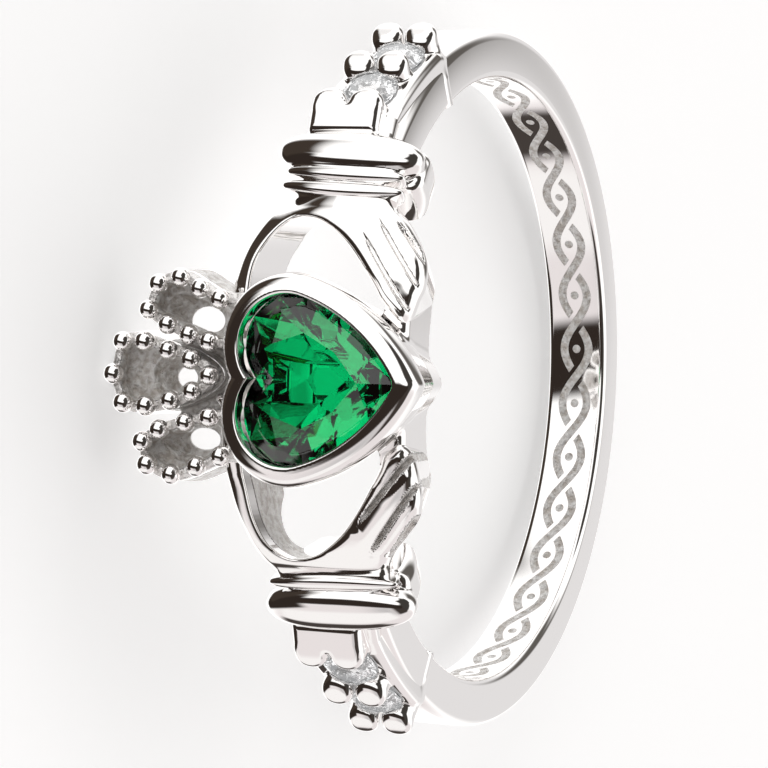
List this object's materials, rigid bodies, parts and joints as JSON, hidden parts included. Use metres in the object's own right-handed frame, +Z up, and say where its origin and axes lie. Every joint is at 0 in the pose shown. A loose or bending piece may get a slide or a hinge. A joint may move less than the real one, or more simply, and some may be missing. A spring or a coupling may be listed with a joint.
{
  "type": "claddagh ring",
  "caption": "Finger ring with cuffed hands holding a heart-cut stone in a bezel under a pierced, beaded crown, with round stones on the shoulders.",
  "frame": {"origin": "middle of the finger hole, at the middle of the band's width", "axes": "+Z up from the surface that the ring lies on; the head with the heart is towards -Y and the back of the band towards +Y; the hands lie to either side along X. The finger hole's axis leans from +Z towards +Y by the angle at which the ring lies."},
  "size_m": [0.02, 0.0219, 0.0096],
  "materials": {
    "silver": "polished silver, with a rough cast finish in the crown's recesses and in the grooves",
    "green_stone": "polished facets, clear emerald green",
    "clear_stone": "polished facets, colourless"
  },
  "bodies": {
    "root": {"ring_body": "silver", "heart_stone": "green_stone", "round_stone_a": "clear_stone", "round_stone_b": "clear_stone", "round_stone_c": "clear_stone", "round_stone_d": "clear_stone"}
  },
  "joints": []
}
